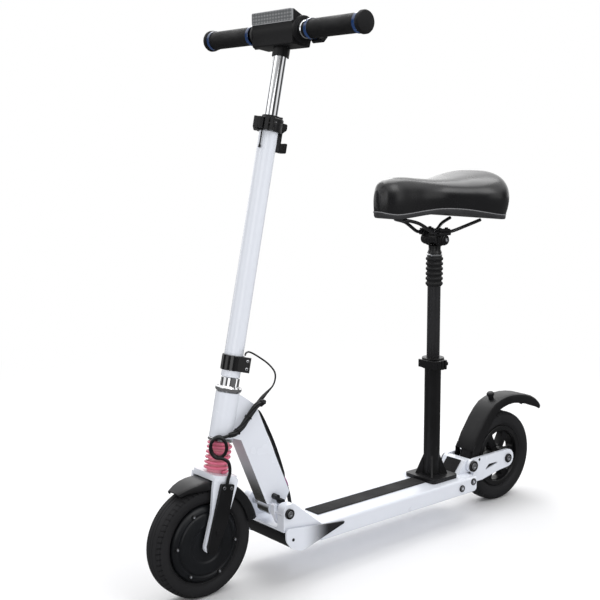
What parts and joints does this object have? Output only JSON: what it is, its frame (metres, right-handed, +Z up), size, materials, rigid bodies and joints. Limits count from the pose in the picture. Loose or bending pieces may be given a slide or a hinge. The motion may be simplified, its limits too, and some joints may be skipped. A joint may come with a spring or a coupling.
{
  "type": "seated electric scooter",
  "caption": "Folding electric scooter with a telescopic stem, sprung fork, hub motor, flat deck, torsion-sprung rear arm and a sprung saddle on an adjustable post.",
  "frame": {"origin": "on the floor, under the centre of the scooter's box, standing on both tyres", "axes": "+Z up, +Y from the front wheel towards the rear wheel, +X to the side with the cable coil, on the rider's left"},
  "size_m": [0.4322, 1.0368, 1.0229],
  "materials": {
    "white_paint": "glossy white powder coat on aluminium",
    "black_paint": "satin black coat on aluminium",
    "chrome": "bright chrome",
    "steel": "zinc plated steel",
    "black_steel": "black painted steel wire",
    "spring": "pink-red painted spring steel",
    "button": "pink-red plastic",
    "black_plastic": "matte black moulded plastic",
    "clear_lens": "clear window over the lamp",
    "dark_glass": "dark glossy display window",
    "tyre": "matte black tyre rubber",
    "rubber": "matte black rubber",
    "cable": "black cable sheath",
    "vinyl": "glossy black vinyl over foam",
    "saddle_shell": "dark grey moulded shell",
    "pack": "plain metal case"
  },
  "bodies": {
    "base": {"deck_nose": "white_paint", "fold_pivot_bolt": "steel", "side_cover_left": "white_paint", "side_cover_right": "white_paint", "deck_extrusion": "white_paint", "deck_grip_strip": "rubber", "battery_pack": "pack", "motor_controller": "pack", "rear_block": "white_paint", "arm_torsion_bush": "rubber", "rear_arm_bolt": "steel", "seat_socket": "black_paint", "seat_post_clamp": "black_paint"},
    "neck": {"neck_frame": "white_paint", "latch_pins": "black_paint", "headset_lower_bearing": "steel", "neck_cable": "cable"},
    "steering": {"steerer": "chrome", "headset_nut": "chrome", "stem_outer_tube": "white_paint", "stem_collar": "black_paint", "clamp_collar": "black_paint", "fold_hook": "black_paint", "stem_cable": "cable", "cable_harness": "cable", "cable_coil": "cable"},
    "fork_slider": {"fork": "white_paint", "fork_cover": "black_plastic", "front_fender": "black_plastic", "front_axle": "steel", "suspension_spring": "spring", "motor_cable": "cable"},
    "front_wheel": {"front_tyre": "tyre", "front_hub_motor": "black_paint", "front_motor_cover": "black_paint"},
    "upper_stem": {"stem_inner_tube": "chrome", "head_housing": "black_plastic", "headlight_lens": "clear_lens", "display_glass": "dark_glass", "handlebar": "chrome", "grip_left": "rubber", "grip_right": "rubber"},
    "brake_thumb": {"brake_lever": "black_plastic"},
    "throttle_thumb": {"throttle_lever": "black_plastic"},
    "power_key": {"power_button": "button"},
    "stem_lock": {"clamp_lever": "black_paint"},
    "pedal": {"fold_pedal": "black_plastic"},
    "latch": {"fold_latch": "white_paint"},
    "swing_arm": {"rear_arm": "white_paint", "rear_axle": "steel"},
    "back_wheel": {"rear_tyre": "tyre", "rear_wheel": "black_plastic"},
    "fender_brake": {"rear_fender": "black_plastic"},
    "post_lock": {"seat_post_lever": "black_paint"},
    "seat_column": {"seat_post": "black_paint", "seat_bellows": "rubber"},
    "seat_top": {"seat_head": "black_paint", "seat_rails": "black_steel", "saddle_base": "saddle_shell", "saddle_cushion": "vinyl"}
  },
  "joints": [
    {"name": "fold_hinge", "type": "hinge", "parent": "base", "child": "neck", "pos_m": [0, -0.26162, 0.12878], "axis": [-1, 0, 0], "range_deg": [0, 19], "deforming": ["neck_cable"]},
    {"name": "steering_turn", "type": "hinge", "parent": "neck", "child": "steering", "pos_m": [0, -0.40645, 0.0972], "axis": [0, 0.2079, 0.9781], "range_deg": [-45, 45], "deforming": ["stem_cable", "cable_harness"]},
    {"name": "fork_travel", "type": "slide", "parent": "steering", "child": "fork_slider", "axis": [0, 0.2079, 0.9781], "range_m": [0, 0.02], "stiffness_N_per_m": 10000, "springref_m": -0.02, "deforming": ["suspension_spring", "motor_cable"]},
    {"name": "front_wheel_spin", "type": "hinge", "parent": "fork_slider", "child": "front_wheel", "pos_m": [0, -0.4186, 0.09979], "axis": [1, 0, 0], "continuous": true},
    {"name": "stem_height", "type": "slide", "parent": "steering", "child": "upper_stem", "axis": [0, 0.2079, 0.9781], "range_m": [-0.1, 0.07]},
    {"name": "brake_press", "type": "hinge", "parent": "upper_stem", "child": "brake_thumb", "pos_m": [0, -0.22218, 0.98816], "axis": [-1, 0, 0], "range_deg": [0, 25], "stiffness_Nm_per_rad": 0.3, "springref_deg": -17.19},
    {"name": "throttle_press", "type": "hinge", "parent": "upper_stem", "child": "throttle_thumb", "pos_m": [0, -0.22218, 0.98816], "axis": [-1, 0, 0], "range_deg": [0, 25], "stiffness_Nm_per_rad": 0.3, "springref_deg": -17.19},
    {"name": "power_press", "type": "slide", "parent": "upper_stem", "child": "power_key", "axis": [0, -0.4713, -0.882], "range_m": [0, 0.001], "stiffness_N_per_m": 1200, "springref_m": -0.001},
    {"name": "stem_lock_swing", "type": "hinge", "parent": "steering", "child": "stem_lock", "pos_m": [0.01085, -0.28245, 0.82043], "axis": [0, 0.2079, 0.9781], "range_deg": [0, 120]},
    {"name": "pedal_press", "type": "hinge", "parent": "base", "child": "pedal", "pos_m": [0, -0.24062, 0.06378], "axis": [1, 0, 0], "range_deg": [0, 15], "stiffness_Nm_per_rad": 1.5, "springref_deg": -20.05},
    {"name": "latch_release", "type": "hinge", "parent": "base", "child": "latch", "pos_m": [0, -0.27262, 0.12878], "axis": [1, 0, 0], "range_deg": [0, 6]},
    {"name": "arm_swing", "type": "hinge", "parent": "base", "child": "swing_arm", "pos_m": [0, 0.26838, 0.10478], "axis": [1, 0, 0], "range_deg": [0, 5], "stiffness_Nm_per_rad": 200, "springref_deg": -6.88},
    {"name": "rear_wheel_spin", "type": "hinge", "parent": "swing_arm", "child": "back_wheel", "pos_m": [0, 0.38538, 0.09979], "axis": [1, 0, 0], "continuous": true},
    {"name": "fender_press", "type": "hinge", "parent": "swing_arm", "child": "fender_brake", "pos_m": [0, 0.29038, 0.11478], "axis": [-1, 0, 0], "range_deg": [0, 4], "stiffness_Nm_per_rad": 5, "springref_deg": -11.46},
    {"name": "post_lock_swing", "type": "hinge", "parent": "base", "child": "post_lock", "pos_m": [0.028, 0.16458, 0.33978], "axis": [0, 0, 1], "range_deg": [0, 120]},
    {"name": "seat_height", "type": "slide", "parent": "base", "child": "seat_column", "axis": [0, 0, 1], "range_m": [-0.15, 0]},
    {"name": "seat_spring", "type": "slide", "parent": "seat_column", "child": "seat_top", "axis": [0, 0, 1], "range_m": [-0.025, 0], "stiffness_N_per_m": 20000, "springref_m": 0.01, "deforming": ["seat_bellows"]}
  ],
  "couplings": [
    {"joint": "latch_release", "follows": "pedal_press", "ratio": 0.4}
  ]
}
